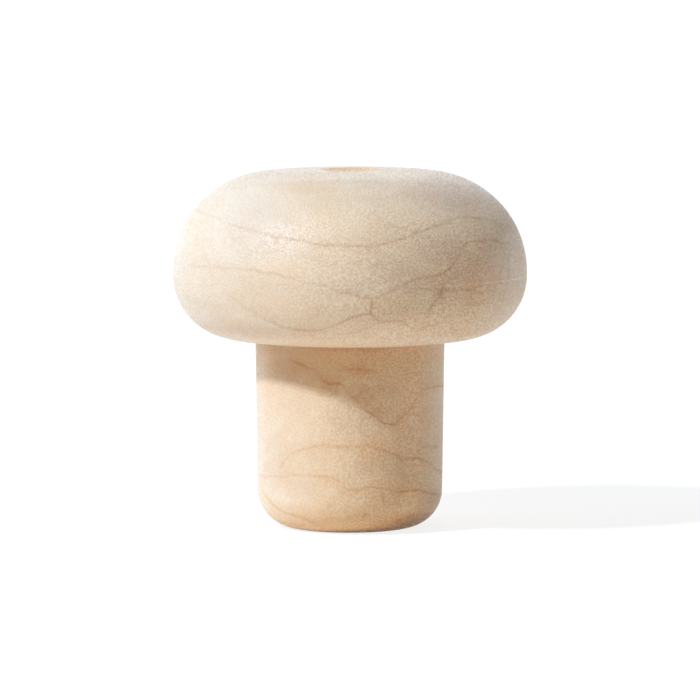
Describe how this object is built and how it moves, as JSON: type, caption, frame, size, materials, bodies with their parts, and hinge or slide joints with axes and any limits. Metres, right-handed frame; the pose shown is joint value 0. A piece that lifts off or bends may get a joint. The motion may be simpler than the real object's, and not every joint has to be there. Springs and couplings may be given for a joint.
{
  "type": "bottle inner plug",
  "caption": "Turned maple bottle plug with a broad rounded head to grip and a slightly tapered round stem that closes the mouth of a bottle.",
  "frame": {"origin": "centre of the flat base of the stem, on the turning axis", "axes": "+Z along the turning axis, from the base of the stem to the crown of the head; the plug is the same all round"},
  "size_m": [0.0374, 0.0374, 0.0379],
  "materials": {
    "maple": "satin"
  },
  "bodies": {
    "root": {"plug": "maple"}
  },
  "joints": []
}
